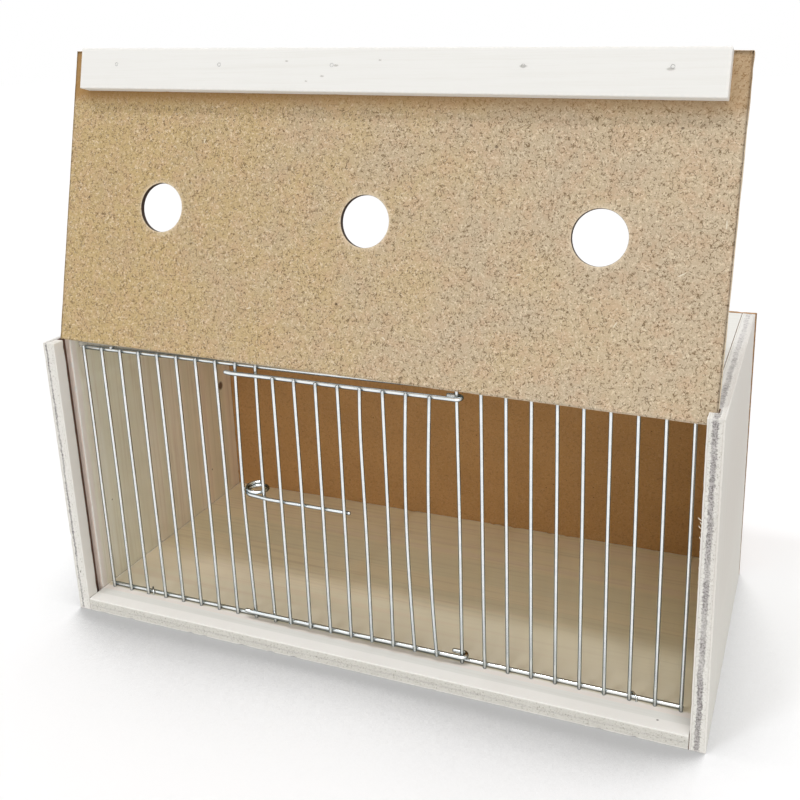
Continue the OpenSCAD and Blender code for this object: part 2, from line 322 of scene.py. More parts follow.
def closeGroup(outputs):
    # outputs gives each name the value that leaves the group; the finished group comes back
    tree = next(iter(outputs.values())).id_data
    for label in outputs:
        tree.interface.new_socket(label, in_out="OUTPUT", socket_type="NodeSocketFloat")
    addNode(tree, "NodeGroupOutput", outputs)
    return tree


def useGroup(group, inputs):
    return follow("ShaderNodeGroup", inputs, node_tree=group).outputs


def buildWoodGrain():
    # Long soft streaks, short pores and slow bands. Stretch holds cycles per millimetre on each
    # axis: small along the grain, large across it.
    given = newGroup("woodGrain", {"Vector": (0, 0, 0), "Stretch": (0.02, 0.8, 0.8)})
    drawn = vectorSums("MULTIPLY", given["Vector"], given["Stretch"])
    wander = vectorSums("MULTIPLY", noise(drawn, 0.35, output="Color"), (0.9, 0.9, 0.9))
    return closeGroup({
        "Streaks": noise(vectorSums("ADD", drawn, wander), 1.0, 4.0, 0.62),
        "Pores": rise(noise(drawn, 3.4, 2.0, 0.6), 0.56, 0.70),
        "Bands": noise(drawn, 0.12),
    })


def buildPlyLayers():
    # Veneers across the thickness, from the depth under the outer face in millimetres: two pale
    # faces, cross plies, and a dark ragged core ply
    given = newGroup("plyLayers", {
        "Depth": 0.0, "Wobble": 0.5, "Ragged": 0.5, "Heart depth": 4.0, "Heart half": 0.7})
    halfPly, gluePlace = 4.0, 3.05
    fromMiddle = apart(given["Depth"], halfPly)
    slow = times(minus(given["Wobble"], 0.5), 2.0)
    quick = times(minus(given["Ragged"], 0.5), 3.2)
    shaken = plus(plus(given["Depth"], slow), quick)
    pastHeart = minus(apart(shaken, given["Heart depth"]), given["Heart half"])
    return closeGroup({
        "Face": rise(fromMiddle, gluePlace - 0.10, gluePlace + 0.10),
        "Heart": fall(pastHeart, -0.25, 0.25),
        "Glue": fall(apart(fromMiddle, gluePlace), 0.04, 0.16),
    })


def buildPressedFibres():
    # Curved fibres are the lines where a noise field passes its middle, kept only where a second
    # field is high. Specks are small cells of a Voronoi pattern.
    given = newGroup("pressedFibres", {"Vector": (0, 0, 0), "Fibre": 1.0})
    place = given["Vector"]
    finer = sums("DIVIDE", 1.0, given["Fibre"])

    def field(vector, scale, detail, roughness):
        return noise(vector, times(finer, scale), detail, roughness)

    def curls(shift, low, high, width):
        moved = vectorSums("ADD", place, shift)
        line = fall(apart(field(moved, 0.60, 2.0, 0.45), 0.5), 0.004, width)
        return times(line, rise(field(moved, 0.55, 2.0, 0.6), low, high))

    cells = follow("ShaderNodeTexVoronoi", {"Vector": place, "Scale": 0.22}).outputs
    small = fall(cells["Distance"], 0.05, 0.13)
    chosen = rise(follow("ShaderNodeSeparateColor", {0: cells["Color"]}).outputs[0], 0.78, 0.80)
    return closeGroup({
        "Dark": curls((3.0, 7.0, 1.0), 0.48, 0.54, 0.064),
        "Light": curls((31.0, -12.0, 9.0), 0.50, 0.58, 0.060),
        "Specks": times(small, chosen),
        "Grit": field(place, 1.25, 3.0, 0.75),
        "Blotch": noise(place, 0.035, 3.0, 0.55),
        "Patch": noise(place, 0.11, 3.0, 0.6),
    })


def buildSpot():
    # A soft-edged oval round a centre; Radius is the oval's half size on each axis
    given = newGroup("spot", {
        "Vector": (0, 0, 0), "Centre": (0, 0, 0), "Radius": (1, 1, 1), "Soft": 0.3})
    off = vectorSums("SUBTRACT", given["Vector"], given["Centre"])
    shaken = vectorSums("SUBTRACT", noise(off, 0.9, output="Color"), (0.5, 0.5, 0.5))
    wavy = vectorSums("ADD", off, vectorSums("MULTIPLY", shaken, (0.8, 0.8, 0.8)))
    reach = vectorSums("DIVIDE", wavy, given["Radius"])
    far = follow("ShaderNodeVectorMath", {0: reach}, operation="LENGTH").outputs["Value"]
    low, high = minus(1.0, given["Soft"]), plus(1.0, given["Soft"])
    return closeGroup({"Mask": fall(far, low, high)})


def buildWear():
    # Rubbed edges from the edge mark on the mesh, broken up by noise, and slow smudges
    given = newGroup("wear", {"Vector": (0, 0, 0), "Edge": 0.0, "Break": 0.5})
    low, high = minus(given["Break"], 0.15), plus(given["Break"], 0.15)
    near = rise(noise(given["Vector"], 0.6, 3.0, 0.6), low, high)
    return closeGroup({
        "Rubbed": times(given["Edge"], near),
        "Smudge": rise(noise(given["Vector"], 0.02, 4.0, 0.6), 0.42, 0.68),
    })


def buildZincSkin():
    # Drawing marks, dull patches and pits of a galvanised wire
    given = newGroup("zincSkin", {"Vector": (0, 0, 0)})
    return closeGroup({
        "Patches": rise(noise(given["Vector"], 0.22, 3.0, 0.6), 0.38, 0.66),
        "Pits": rise(noise(given["Vector"], 1.6, 2.0, 0.6), 0.60, 0.72),
        "Height": noise(given["Vector"], 0.30, 3.0, 0.6),
    })


woodGrain = buildWoodGrain()
plyLayers = buildPlyLayers()
pressedFibres = buildPressedFibres()
spot = buildSpot()
wear = buildWear()
zincSkin = buildZincSkin()
print("Shared effects built")


def emptyMaterial(name):
    material = bpy.data.materials.new(name)
    material.use_nodes = True
    material.node_tree.nodes.clear()
    return material, material.node_tree


def startMaterial(name):
    # Material, its tree, its Principled shader, and the object coordinates in millimetres
    material, tree = emptyMaterial(name)
    shader = addNode(tree, "ShaderNodeBsdfPrincipled")
    addNode(tree, "ShaderNodeOutputMaterial", {0: shader.outputs[0]})
    place = addNode(tree, "ShaderNodeTexCoord").outputs["Object"]
    return material, tree, shader, vectorSums("MULTIPLY", place, (1000.0, 1000.0, 1000.0))


def markOf(tree, label):
    # A mark of the mesh, 0 where the mesh has none of that name
    return addNode(tree, "ShaderNodeAttribute", attribute_name=label).outputs["Fac"]


def finishMaterial(shader, values, height, distance, strength):
    # values are sockets or fixed numbers for the shader; height is the field that the bump follows
    bump = follow("ShaderNodeBump", {"Height": height, "Distance": distance, "Strength": strength})
    feed(shader, {**values, "Normal": bump.outputs[0]})


def addSpots(place, base, spots):
    # Each spot: centre and half sizes in millimetres, softness, strength and colour
    for centre, radius, soft, strength, tint in spots:
        oval = useGroup(spot, {"Vector": place, "Centre": centre, "Radius": radius, "Soft": soft})
        base = layered(base, [(oval["Mask"], strength, tint)])
    return base


plywood = {
    "limed": colour(0.815, 0.815, 0.775),
    "limedShade": colour(0.770, 0.765, 0.720),
    "sheltered": colour(0.850, 0.800, 0.745),
    "wallFront": colour(0.930, 0.930, 0.820),
    "wallRear": colour(0.985, 0.890, 0.740),
    # the raw floor turns paler from floorFront to floorRear: painted light towards the rear, where the lamps
    # reach less
    "floorFront": colour(0.640, 0.545, 0.415),
    "floorRear": colour(0.930, 0.840, 0.630),
    "rawShade": colour(0.640, 0.540, 0.400),
    "bandGreen": colour(0.770, 0.760, 0.580),
    "bandPink": colour(0.900, 0.760, 0.660),
    "crossPale": colour(0.958, 0.955, 0.915),
    "crossGrey": colour(0.800, 0.795, 0.745),
    "crossPore": colour(0.350, 0.335, 0.265),
    "heart": colour(0.520, 0.495, 0.505),
    "heartPit": colour(0.110, 0.100, 0.095),
    "glue": colour(0.520, 0.420, 0.320),
    "rubbed": colour(0.900, 0.890, 0.855),
    "smudge": colour(0.700, 0.680, 0.630),
    "seam": colour(0.140, 0.080, 0.045),
    # the groove's walls: pinkish cut wood lifted into painted light; its bottom: dark core ply with painted
    # shade
    "grooveWallAndPaintedLight": colour(0.980, 0.860, 0.780),
    "grooveBottomAndPaintedShade": colour(0.170, 0.095, 0.065),
    # places on Y in millimetres: where the rubbed rim ends, where the lime white ends, where the
    # raw wood starts, and where it starts to turn to its rear colour
    "rubbedEnd": -80.3,
    "limeEnd": -75.0,
    "rawStart": -70.9,
    "rearStart": -70.0,
}


def plywoodMaterial(name, depthAxis, innerAt, outerAt, along, cross, raw, heart, spots, seams=(), groove=()):
    # depthAxis is the axis through the thickness, with the inner and the outer face on it in
    # millimetres. The outer veneers' grain runs along one axis and the cross plies square to it,
    # in the colour that cross names. raw is the bare inner face's colours at the front and the
    # rear, and where the second one is reached. heart is the dark core ply's depth, half thickness
    # and strength. seams are thin dark lines: an axis, a place on it and a half width. groove is
    # where the cover's groove starts and ends. Lime white covers the outside and the front, and
    # the inner face is raw behind the grille.
    material, tree, shader, place = startMaterial(name)
    parts = follow("ShaderNodeSeparateXYZ", {0: place}).outputs
    fromInner = apart(parts[depthAxis], innerAt)
    wobble = noise(place, 0.05, 3.0, 0.6)
    ragged = noise(place, 0.7, 4.0, 0.75)
    depth = apart(parts[depthAxis], outerAt)
    layers = useGroup(plyLayers, {
        "Depth": depth, "Wobble": wobble, "Ragged": ragged, "Heart depth": heart[0], "Heart half": heart[1]})
    faceStretch, crossStretch = [0.45] * 3, [1.3] * 3
    faceStretch[along] = 0.010
    crossStretch[3 - depthAxis - along] = 0.10
    faceGrain = useGroup(woodGrain, {"Vector": place, "Stretch": faceStretch})
    crossGrain = useGroup(woodGrain, {"Vector": place, "Stretch": crossStretch})
    worn = useGroup(wear, {"Vector": place, "Edge": markOf(tree, "edge"), "Break": 0.42})
    limed = layered(plywood["limed"], [
        (rise(faceGrain["Streaks"], 0.40, 0.80), 1.0, plywood["limedShade"])])
    limeEnd, rubbedEnd, rawStart = (plywood[label] for label in ("limeEnd", "rubbedEnd", "rawStart"))
    inner = layered(limed, [
        (rise(parts[1], limeEnd - 0.2, limeEnd + 0.2), 1.0, plywood["sheltered"]),
        (fall(parts[1], rubbedEnd - 0.3, rubbedEnd), 1.0, plywood["rubbed"]),
    ])
    bare = layered(plywood[raw[0]], [
        (rise(parts[1], plywood["rearStart"], raw[2]), 1.0, plywood[raw[1]]),
        (rise(faceGrain["Streaks"], 0.45, 0.75), 0.45, plywood["rawShade"]),
        (rise(faceGrain["Bands"], 0.47, 0.56), 0.34, plywood["bandGreen"]),
        (fall(faceGrain["Bands"], 0.36, 0.45), 0.30, plywood["bandPink"]),
    ])
    onInner = fall(fromInner, 0.15, 0.40)
    edgeOfRaw = plus(parts[1], rise(wobble, 0.3, 0.7, -0.5, 0.5))
    isRaw = times(rise(edgeOfRaw, rawStart - 1.2, rawStart + 1.2), onInner)
    ends = layered(plywood[cross], [
        (rise(crossGrain["Streaks"], 0.54, 0.74), 0.35, plywood["crossPore"]),
        (rise(noise(place, 0.95, 3.0, 0.7), 0.57, 0.65), 0.60, plywood["crossPore"]),
    ])
    pits = rise(noise(place, 1.1, 3.0, 0.7), 0.46, 0.60)
    patchy = rise(noise(place, 0.06), 0.35, 0.55, heart[2] * 0.65, heart[2])
    base = layered(ends, [
        (layers["Heart"], patchy, blendColours(pits, plywood["heart"], plywood["heartPit"])),
        (layers["Face"], 1.0, layered(limed, [(onInner, 1.0, inner), (isRaw, 1.0, bare)])),
        (layers["Glue"], 0.30, plywood["glue"]),
        (worn["Smudge"], 0.08, plywood["smudge"]),
        (worn["Rubbed"], 0.85, plywood["rubbed"]),
    ])
    # in the groove the walls get cut wood lifted into painted light, and the bottom the dark core with
    # painted shade
    if groove:
        inGroove = shareWithin(parts[1], groove[0], groove[1], 0.15)
        base = layered(base, [
            (inGroove, shareWithin(fromInner, 0.5, 4.4, 0.3), plywood["grooveWallAndPaintedLight"]),
            (inGroove, shareWithin(fromInner, 3.8, 4.4, 0.4), plywood["grooveBottomAndPaintedShade"]),
        ])
    for axis, at, half in seams:
        broken = rise(ragged, 0.32, 0.50, 0.35, 0.9)
        line = shareWithin(parts[axis], at - half, at + half, half * 0.5)
        base = layered(base, [(line, broken, plywood["seam"])])
    endWood = times(plus(crossGrain["Streaks"], pits), minus(1.0, layers["Face"]))
    finishMaterial(shader, {
        "Base Color": addSpots(place, base, spots),
        "Roughness": minus(rise(worn["Smudge"], 0.0, 1.0, 0.80, 0.70), times(isRaw, 0.30)),
        "Specular IOR Level": 0.30,
    }, plus(times(faceGrain["Streaks"], 0.15), endWood), 0.22 * mm, 0.8)
    return material


coverBoard = {
    "left": colour(0.548, 0.404, 0.196),
    "right": colour(0.592, 0.486, 0.345),
    "patch": colour(0.600, 0.400, 0.255),
    "dark": colour(0.165, 0.102, 0.042),
    "light": colour(0.900, 0.790, 0.600),
    "speck": colour(0.090, 0.050, 0.025),
    "edge": colour(0.860, 0.740, 0.560),
    # the hole walls: the darker cut board, deepened into painted shade inside the holes
    "cut": colour(0.036, 0.018, 0.010),
    # painted shade: the grip strip's shadow on the cover
    "stripShadow": colour(0.360, 0.200, 0.065),
    "contrast": 1.0,
}
backBoard = {
    "left": colour(0.550, 0.305, 0.122),
    "right": colour(0.520, 0.285, 0.105),
    "patch": colour(0.520, 0.300, 0.140),
    "dark": colour(0.220, 0.110, 0.045),
    "light": colour(0.700, 0.460, 0.240),
    "speck": colour(0.120, 0.060, 0.030),
    "edge": colour(0.150, 0.085, 0.045),
    "cut": colour(0.330, 0.190, 0.100),
    "contrast": 0.42,
}


def hardboardMaterial(name, colours, spots=(), fibre=1.0, line=None):
    # Pressed fibres over a tint that drifts from the left colour to the right one. line paints
    # shade on the board under and behind the grip strip, a painted shadow of the strip: the way up
    # the board, and where on it the painted shade starts and where it is full.
    material, tree, shader, place = startMaterial(name)
    fibres = useGroup(pressedFibres, {"Vector": place, "Fibre": fibre})
    across = follow("ShaderNodeSeparateXYZ", {0: place}).outputs[0]
    side = 190.0  # half the case's width, in millimetres
    drift = plus(across, rise(fibres["Blotch"], 0.3, 0.7, -70.0, 70.0))
    worn = useGroup(wear, {"Vector": place, "Edge": markOf(tree, "edge"), "Break": 0.42})
    full = colours["contrast"]
    base = layered(colours["left"], [
        (rise(drift, -side, side), 1.0, colours["right"]),
        (rise(fibres["Patch"], 0.42, 0.66), 0.40 * full, colours["patch"]),
        (rise(fibres["Blotch"], 0.35, 0.70), 0.09, colours["dark"]),
        (rise(fibres["Grit"], 0.52, 0.74), 0.36 * full, colours["dark"]),
        (fall(fibres["Grit"], 0.28, 0.48), 0.46 * full, colours["light"]),
        (fibres["Dark"], 0.90 * full, colours["dark"]),
        (fibres["Light"], 0.60 * full, colours["light"]),
        (fibres["Specks"], 0.80, colours["speck"]),
        (worn["Rubbed"], 0.80, colours["edge"]),
        # the cover's hole walls: darker cut board with painted shade
        (markOf(tree, "cut"), 1.0, colours["cut"]),
    ])
    # painted shade under and behind the grip strip, stronger towards the left
    if line:
        way, start, stop = line
        up = follow("ShaderNodeVectorMath", {0: place, 1: way}, operation="DOT_PRODUCT")
        strength = rise(across, -side, side, 0.86, 0.50)
        stripShade = rise(up.outputs["Value"], start, stop)
        base = layered(base, [(stripShade, strength, colours["stripShadow"])])
    finishMaterial(shader, {
        "Base Color": addSpots(place, base, spots),
        "Roughness": rise(fibres["Grit"], 0.3, 0.7, 0.62, 0.80),
        "Specular IOR Level": 0.30,
    }, plus(fibres["Grit"], minus(fibres["Light"], fibres["Dark"])), 0.10 * mm, 0.6)
    return material


def stripMaterial(spots):
    # Pale close-grained wood with the grain along the strip
    material, tree, shader, place = startMaterial("paleStripWood")
    grain = useGroup(woodGrain, {"Vector": place, "Stretch": (0.012, 0.55, 0.55)})
    worn = useGroup(wear, {"Vector": place, "Edge": markOf(tree, "edge"), "Break": 0.5})
    base = layered(colour(0.872, 0.880, 0.862), [
        (rise(grain["Streaks"], 0.40, 0.80), 1.0, colour(0.845, 0.850, 0.825)),
        (grain["Pores"], 0.06, colour(0.62, 0.57, 0.49)),
        (worn["Smudge"], 0.05, colour(0.80, 0.80, 0.79)),
        (worn["Rubbed"], 0.8, colour(0.93, 0.92, 0.89)),
    ])
    finishMaterial(shader, {
        "Base Color": addSpots(place, base, spots),
        "Roughness": rise(grain["Streaks"], 0.3, 0.7, 0.52, 0.66),
        "Specular IOR Level": 0.32,
    }, grain["Streaks"], 0.03 * mm, 0.4)
    return material


def metalMaterial(name, bright, dull, roughLow, roughHigh, rim):
    # Bright metal with dull patches and pits, darker round the welds. Where it is seen edge on, its
    # colour turns to the rim colour: a painted dark reflection along its outline.
    material, tree, shader, place = startMaterial(name)
    skin = useGroup(zincSkin, {"Vector": place})
    weld = markOf(tree, "weld")
    edgeOn = addNode(tree, "ShaderNodeLayerWeight", {"Blend": 0.5}).outputs["Facing"]
    base = layered(bright, [
        (skin["Patches"], 0.60, dull),
        (skin["Pits"], 0.10, colour(0.20, 0.20, 0.20)),
        (weld, 0.55, colour(0.30, 0.31, 0.31)),
        # painted reflection: the colour darkens towards the outline, where the metal is seen edge on
        (rise(edgeOn, 0.16, 0.55), 1.0, rim),
    ])
    rough = plus(rise(skin["Patches"], 0.0, 1.0, roughLow, roughHigh), times(weld, 0.15))
    values = {"Base Color": base, "Roughness": rough, "Metallic": 1.0}
    finishMaterial(shader, values, skin["Height"], 0.01 * mm, 0.15)
    return material


case = {
    "ply": 8.0 * mm,
    "ease": 0.30 * mm,
    "backEase": 0.15 * mm,
    "backFlat": 1.1 * mm,
    "grooveSetback": 7.9 * mm,
    "grooveWidth": 5.3 * mm,
    "grooveDepth": 4.2 * mm,
    "rearTaper": 0.7 * mm,
}


def boardCorners(lowU, lowV, highU, highV):
    # A rectangle's corners, anticlockwise
    return [(lowU, lowV), (highU, lowV), (highU, highV), (lowU, highV)]


def makeFlatBoard(name, material, seed, ease=case["ease"], flat=rimFlat):
    # A plain board: its outline in the plane of Y and Z is carried along X
    low, high = boxOf(name)
    corners = boardCorners(low[1], low[2], high[1], high[2])
    points, faces, edge = carryBoard(corners, (1, 2, 0), low[0], high[0], ease, seed, flat=flat)
    makePiece(name + "_wood", points, faces, "case", material, [name], {"edge": edge})


def makeSide(name, hand, material, seed):
    # A side board: its outline in the plane of X and Y, with the cover's groove cut into its
    # inner face, is carried up along Z. The right one thins towards the rear and the top, as the
    # product of both shares, so that the back board shows past it there.
    low, high = boxOf(name)
    grooveFront = low[1] + case["grooveSetback"]
    grooveBack = grooveFront + case["grooveWidth"]
    if hand < 0:
        inner, outer, bottom = high[0], low[0], high[0] - case["grooveDepth"]
        corners = [(outer, low[1]), (inner, low[1]), (inner, grooveFront), (bottom, grooveFront),
                   (bottom, grooveBack), (inner, grooveBack), (inner, high[1]), (outer, high[1])]
    else:
        inner, outer, bottom = low[0], high[0], low[0] + case["grooveDepth"]
        corners = [(inner, low[1]), (outer, low[1]), (outer, high[1]), (inner, high[1]),
                   (inner, grooveBack), (bottom, grooveBack), (bottom, grooveFront), (inner, grooveFront)]
    points, faces, edge = carryBoard(corners, (0, 1, 2), low[2], high[2], case["ease"], seed)
    if hand > 0:
        across, back, up = ((points - low) / (high - low)).T.clip(0, 1)
        points[:, 0] -= case["rearTaper"] * across * back * up
    makePiece(name + "_wood", points, faces, "case", material, [name], {"edge": edge})


darkKnot = colour(0.13, 0.07, 0.04)
paleRing = colour(0.90, 0.88, 0.83)
greyDot = colour(0.16, 0.14, 0.12)
leftSpots = [
    ((-182.0, 71.5, 92.4), (1.5, 2.6, 3.0), 0.35, 0.9, darkKnot),
    ((-182.0, -56.7, 60.7), (1.0, 0.5, 0.5), 0.4, 0.8, greyDot),
    ((-182.0, 51.6, 33.6), (1.0, 0.6, 0.6), 0.4, 0.8, greyDot),
    ((-180.8, -88.2, 168.6), (0.8, 0.8, 0.7), 0.4, 0.8, greyDot),
    ((-185.8, -88.2, 26.0), (0.5, 0.8, 0.5), 0.4, 0.8, greyDot),
]
rightSpots = [
    # painted shade: a large soft darker oval over the upper part of the right side's outer face
    ((190.0, 10.0, 120.0), (3.0, 110.0, 75.0), 0.8, 0.40, colour(0.62, 0.56, 0.51)),
]
floorSpots = [
    ((15.3, -81.0, 8.0), (1.6, 1.3, 1.0), 0.3, 0.5, paleRing),
    ((165.6, -81.6, 8.0), (0.6, 0.6, 0.8), 0.4, 0.8, greyDot),
]
grooveSpan = (-80.35, -75.05)
# the bare floor's paler rear colour is painted light
bareFloor, bareWall = ("floorFront", "floorRear", -5.0), ("wallFront", "wallRear", 60.0)
endSeams = [(0, hand * 182.0, 0.30) for hand in (-1, 1)]
roofSeams = endSeams + [(1, 85.1, 0.35)]
floorPly = plywoodMaterial("plywoodFloor", 2, 8.0, 0.0, 0, "crossGrey", bareFloor, (3.6, 0.5, 0.25),
                           floorSpots, endSeams)
roofPly = plywoodMaterial("plywoodRoof", 2, 166.0, 174.0, 0, "crossGrey", bareWall, (4.0, 0.6, 0.6),
                          (), roofSeams)
leftPly = plywoodMaterial("plywoodLeft", 0, -182.0, -190.0, 2, "crossPale", bareWall, (2.6, 0.60, 0.95),
                          leftSpots, (), grooveSpan)
rightPly = plywoodMaterial("plywoodRight", 0, 182.0, 190.0, 2, "crossPale", bareWall, (4.3, 1.3, 0.85),
                           rightSpots, (), grooveSpan)
makeFlatBoard("floor_panel", floorPly, 11)
makeFlatBoard("roof_panel", roofPly, 12)
makeSide("left_side", -1, leftPly, 13)
makeSide("right_side", 1, rightPly, 14)
backMaterial = hardboardMaterial("hardboardBack", backBoard, (), 1.1)
makeFlatBoard("back_panel", backMaterial, 15, case["backEase"], case["backFlat"])
print("Boards made")


wires = {
    "sides": 16,
    "wander": 0.12 * mm,
    "strayBow": 0.25 * mm,
    # each: the bend's depth, and the share of the height where it is deepest
    "bows": {
        "grille_wire_9": (-1.5 * mm, 0.50), "grille_wire_10": (-1.0 * mm, 0.50),
        "door_wire_5": (-0.7 * mm, 0.80), "door_wire_7": (-2.2 * mm, 0.52), "door_wire_8": (-2.4 * mm, 0.48),
    },
    "weldReach": 1.5 * mm,
    "weldSwell": 0.16,
    "sag": 0.15 * mm,
    # strength and reach of the dull marks round the welds
    "uprightMarks": (0.8, 2.2 * mm),
    "railMarks": (0.7, 1.9 * mm),
}
doorRail = {
    "tail": 6.5 * mm,
    "hook": 0.5 * mm,
    "hookReach": 2.5 * mm,
    "wave": 0.12 * mm,
}
zinc = metalMaterial("zincWire", colour(0.90, 0.93, 0.93), colour(0.76, 0.81, 0.83), 0.16, 0.24,
                     colour(0.10, 0.14, 0.15))


def nearWelds(along, places, reach):
    # From 1 at a weld to 0 away from it, as a bell curve
    return np.max([np.exp(-((along - p) / reach) ** 2) for p in places], axis=0)


def makeWire(name, body, path, radius, welds, marked="railMarks", **shape):
    # A circle carried along the path, with dull marks round its welds
    points, faces, along = carryCircle(path, radius, sides=wires["sides"], **shape)
    strength, reach = wires[marked]
    marks = {"weld": strength * nearWelds(along, welds, reach)}
    makePiece(name + "_zinc", points, faces, body, zinc, [name], marks)


def makeUprightWire(name, body, railLevels, seed):
    # A circle carried up a line that bows sideways as one half sine, and wanders a little. The
    # wire swells towards the rail behind it at each weld.
    rng = np.random.default_rng(seed)
    low, high = boxOf(name)
    middle = (low + high) / 2
    height = np.linspace(0, 1, 60)
    stray = wires["strayBow"]
    amount, peak = wires["bows"].get(name, (rng.uniform(-stray, stray), 0.5))
    bend = amount * np.sin(np.pi * height ** (math.log(0.5) / math.log(peak)))
    drift = wires["wander"] * np.sin(height * rng.uniform(5, 9) + rng.uniform(0, 6)) * np.sin(np.pi * height)
    path = np.stack([middle[0] + bend, middle[1] + drift, low[2] + height * (high[2] - low[2])], 1)
    welds = [level - low[2] for level in railLevels]

    def swell(s, angle):
        near = nearWelds(s, welds, wires["weldReach"])
        return 1 + wires["weldSwell"] * near * np.clip(np.sin(angle), 0, 1)

    radius = (high[0] - low[0]) / 2
    makeWire(name, body, path, radius, welds, "uprightMarks", up=(0, 1, 0), cap=0.7, swell=swell)


def wiresNamed(prefix):
    # The frame's names that start with the prefix, in the order of the numbers at their ends
    names = [name for name in frame["nodes"] if name.startswith(prefix)]
    return sorted(names, key=lambda name: int(name.rsplit("_", 1)[1]))


fixedWires = wiresNamed("grille_wire_")
doorWires = wiresNamed("door_wire_")
fixedLevels = [middleOf("grille_bottom_rail")[2], middleOf("grille_top_rail")[2]]
doorLevels = [middleOf("door_bottom_rail")[2], middleOf("door_top_rail")[2]]
for count, name in enumerate(fixedWires):
    makeUprightWire(name, "case", fixedLevels, 100 + count)
for count, name in enumerate(doorWires):
    makeUprightWire(name, "door", doorLevels, 200 + count)


def makeFixedRail(name, seed):
    # A circle carried along a nearly straight line behind the fixed wires
    rng = np.random.default_rng(seed)
    low, high = boxOf(name)
    middle = (low + high) / 2
    share = np.linspace(0, 1, 80)
    sag = wires["sag"] * np.sin(share * rng.uniform(8, 12) + 1) * np.sin(np.pi * share)
    path = np.stack([low[0] + share * (high[0] - low[0]), np.full(80, middle[1]), middle[2] + sag], 1)
    welds = [middleOf(n)[0] - low[0] for n in fixedWires]
    makeWire(name, "case", path, (high[2] - low[2]) / 2, welds, up=(0, 0, 1), cap=0.7)


def makeDoorRail(name, seed):
    # A straight run, a half circle round the hinge wire and a straight tail behind it. The left
    # tip hooks up a little.
    rng = np.random.default_rng(seed)
    low, high = boxOf(name)
    radius = (high[2] - low[2]) / 2
    level = (high[2] + low[2]) / 2
    hinge = middleOf("grille_wire_11")
    front, rear = low[1] + radius, high[1] - radius
    eye = (rear - front) / 2
    run = np.linspace(low[0], hinge[0], 90)
    share = (run - low[0]) / (hinge[0] - low[0])
    hook = doorRail["hook"] * np.exp(-((run - low[0]) / doorRail["hookReach"]) ** 2)
    wave = doorRail["wave"] * np.sin(share * rng.uniform(7, 10)) * np.sin(np.pi * share)
    straight = np.stack([run, np.full(90, front), level + hook + wave], 1)
    turn = np.linspace(-np.pi / 2, np.pi / 2, 20)[1:-1]
    bent = np.stack([hinge[0] + eye * np.cos(turn), hinge[1] + eye * np.sin(turn), np.full(18, level)], 1)
    tail = np.linspace(hinge[0], hinge[0] - doorRail["tail"], 8)
    path = np.concatenate([straight, bent, np.stack([tail, np.full(8, rear), np.full(8, level)], 1)])
    welds = [middleOf(n)[0] - low[0] for n in doorWires]
    makeWire(name, "door", path, radius, welds, up=(0, 0, 1), step=0.8 * mm, cap=0.9)


makeFixedRail("grille_top_rail", 301)
makeFixedRail("grille_bottom_rail", 302)
makeDoorRail("door_top_rail", 303)
makeDoorRail("door_bottom_rail", 304)

latch = {
    "coilRadius": 5.9 * mm,
    "coilCentre": (-66.6 * mm, -66.6 * mm),
    "turns": 1.45,
    "climb": 2.15 * mm,
    "bendLead": 2.5 * mm,
}


def makeLatch():
    # A straight bar behind the first door wires, led tangent into a coil that climbs steadily as
    # it turns clockwise, seen from above
    low, high = boxOf("door_latch")
    radius = middleOf("grille_wire_10")[0] - boxOf("grille_wire_10")[0][0]
    barFront, level = low[1] + radius, low[2] + radius
    bendX = middleOf("grille_wire_10")[0] + latch["bendLead"]
    centre, reach = np.array(latch["coilCentre"]), latch["coilRadius"]
    toCoil = centre - (bendX, barFront)
    heading = math.atan2(toCoil[1], toCoil[0]) + math.asin(reach / np.linalg.norm(toCoil))
    turn = np.linspace(0, latch["turns"], 110)
    angle = heading + np.pi / 2 - 2 * np.pi * turn
    coil = np.stack([centre[0] + reach * np.cos(angle), centre[1] + reach * np.sin(angle),
                     level + latch["climb"] * turn], 1)
    bar = np.stack([np.linspace(high[0], bendX + radius, 30), np.full(30, barFront), np.full(30, level)], 1)
    welds = [high[0] - middleOf(n)[0] for n in doorWires[:4]]
    path = np.concatenate([bar, coil])
    makeWire("door_latch", "door", path, radius, welds, up=(0, 0, 1), step=0.8 * mm, cap=0.7)


makeLatch()
print("Wire front and door made")


cover = {
    "lean": math.radians(14.2),
    "skew": math.radians(1.05),
    "width": 371.8 * mm,
    "height": 166.5 * mm,
    "thick": 3.0 * mm,
    "ease": 0.35 * mm,
    "holeRadius": 13.5 * mm,
    "holeRise": 80.4 * mm,
    "holePlaces": (-120.7 * mm, 4.4 * mm, 125.3 * mm),
    # points along the sides of each hole's cell, and how close two points are to become one
    "pointsAcross": 26,
    "pointsUp": 30,
    "sewWithin": 0.002 * mm,
}
strip = {
    "length": 352.6 * mm,
    "height": 22.5 * mm,
    "thick": 8.0 * mm,
    "shift": 0.9 * mm,
    "ease": 0.55 * mm,
    "chip": 0.05 * mm,
    "nick": 0.10 * mm,
    "bradShares": (-0.43, -0.24, -0.05, 0.235, 0.43),
    "bradDrop": 9.0 * mm,
    # how far under the strip's foot the painted shadow of the strip starts and where it is full, in
    # millimetres
    "stripShade": (9.5, 0.5),
}
coverSeat = np.array(next(j["pos_m"] for j in frame["joints"] if j["name"] == "cover_tilt"))


def onCover(points):
    # Points drawn upright, with the middle of the lower edge at the origin, are skewed in the
    # cover's own plane and then leant back on the seat
    x, y, z = np.asarray(points, float).T
    skewedX = x * math.cos(cover["skew"]) + z * math.sin(cover["skew"])
    skewedZ = z * math.cos(cover["skew"]) - x * math.sin(cover["skew"])
    return np.stack([skewedX, y * math.cos(cover["lean"]) + skewedZ * math.sin(cover["lean"]),
                     skewedZ * math.cos(cover["lean"]) - y * math.sin(cover["lean"])], 1) + coverSeat


